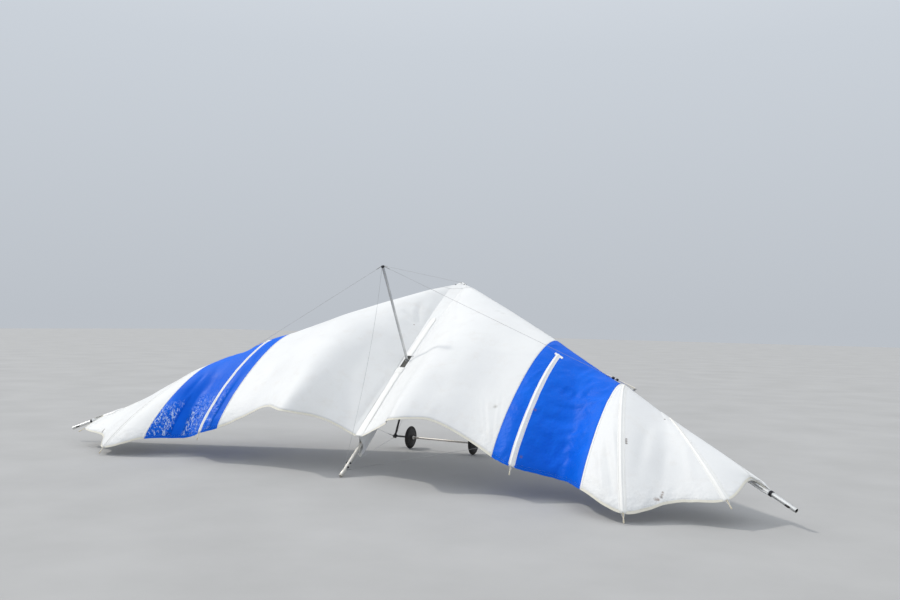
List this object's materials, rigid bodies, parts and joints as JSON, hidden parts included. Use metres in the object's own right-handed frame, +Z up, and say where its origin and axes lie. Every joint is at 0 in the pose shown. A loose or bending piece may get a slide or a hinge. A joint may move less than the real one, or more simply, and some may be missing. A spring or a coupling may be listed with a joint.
{
  "type": "hang glider",
  "caption": "Kingposted single-surface hang glider with a white and blue sail, parked nose up on the two wheels of its base bar and the tail of its keel.",
  "frame": {"origin": "on the floor under the middle of the whole glider's bounding box", "axes": "+Z up, +Y forward towards the nose, +X towards the pilot's right wing tip"},
  "size_m": [9.2728, 3.2658, 2.3722],
  "materials": {
    "white_sailcloth": "woven polyester sailcloth with a soft sheen",
    "blue_sailcloth": "woven polyester sailcloth with a soft sheen",
    "webbing": "woven webbing",
    "aluminium_tube": "drawn tube, lightly worn",
    "dark_fittings": "dark anodised",
    "wire": "stranded stainless wire",
    "batten": "glass fibre rod",
    "tyre": "black rubber with a little sand dust",
    "black_plastic": "moulded"
  },
  "bodies": {
    "airframe": {"base_bar": "aluminium_tube", "batten_inner_left": "batten", "batten_inner_right": "batten", "batten_middle_left": "batten", "batten_middle_right": "batten", "batten_outer_left": "batten", "batten_outer_right": "batten", "control_frame_apex": "dark_fittings", "corner_bracket_left": "dark_fittings", "corner_bracket_right": "dark_fittings", "crossbar_center_bracket": "dark_fittings", "crossbar_joint_plate_left": "dark_fittings", "crossbar_joint_plate_right": "dark_fittings", "crossbar_left": "aluminium_tube", "crossbar_right": "aluminium_tube", "downtube_left": "dark_fittings", "downtube_right": "dark_fittings", "hang_point_bracket": "wire", "keel_end_cap": "black_plastic", "keel_tube": "aluminium_tube", "kingpost": "aluminium_tube", "kingpost_cap": "black_plastic", "kingpost_foot": "dark_fittings", "leading_edge_left": "aluminium_tube", "leading_edge_right": "aluminium_tube", "nose_plate_bottom": "dark_fittings", "nose_plate_top": "dark_fittings", "sail_band_left": "blue_sailcloth", "sail_band_right": "blue_sailcloth", "sail_center_left": "white_sailcloth", "sail_center_right": "white_sailcloth", "sail_keel_band_front": "white_sailcloth", "sail_keel_band_rear": "white_sailcloth", "sail_keel_pocket": "white_sailcloth", "sail_tip_left": "white_sailcloth", "sail_tip_right": "white_sailcloth", "side_wire_tang_left": "aluminium_tube", "side_wire_tang_right": "aluminium_tube", "tip_clamp_left": "dark_fittings", "tip_clamp_right": "dark_fittings", "wheel_collar_left_inner": "dark_fittings", "wheel_collar_left_outer": "dark_fittings", "wheel_collar_right_inner": "dark_fittings", "wheel_collar_right_outer": "dark_fittings", "wire_front_left": "wire", "wire_front_right": "wire", "wire_rear_left": "wire", "wire_rear_right": "wire", "wire_side_left": "wire", "wire_side_right": "wire", "wire_top_front": "wire", "wire_top_rear": "wire", "wire_top_side_left": "wire", "wire_top_side_right": "wire"},
    "wheel_left": {"tyre_left": "tyre", "wheel_disc_left": "black_plastic"},
    "wheel_right": {"tyre_right": "tyre", "wheel_disc_right": "black_plastic"},
    "hang_loop": {"hang_loop": "webbing"}
  },
  "joints": [
    {"name": "wheel_left_spin", "type": "hinge", "parent": "airframe", "child": "wheel_left", "pos_m": [-0.475, 1.08071, 0.15], "axis": [1, 0, 0], "continuous": true},
    {"name": "wheel_right_spin", "type": "hinge", "parent": "airframe", "child": "wheel_right", "pos_m": [0.475, 1.08071, 0.15], "axis": [1, 0, 0], "continuous": true},
    {"name": "hang_loop_swing", "type": "hinge", "parent": "airframe", "child": "hang_loop", "pos_m": [0, 0.25025, 1.06305], "axis": [1, 0, 0], "range_deg": [-35, 75]}
  ]
}
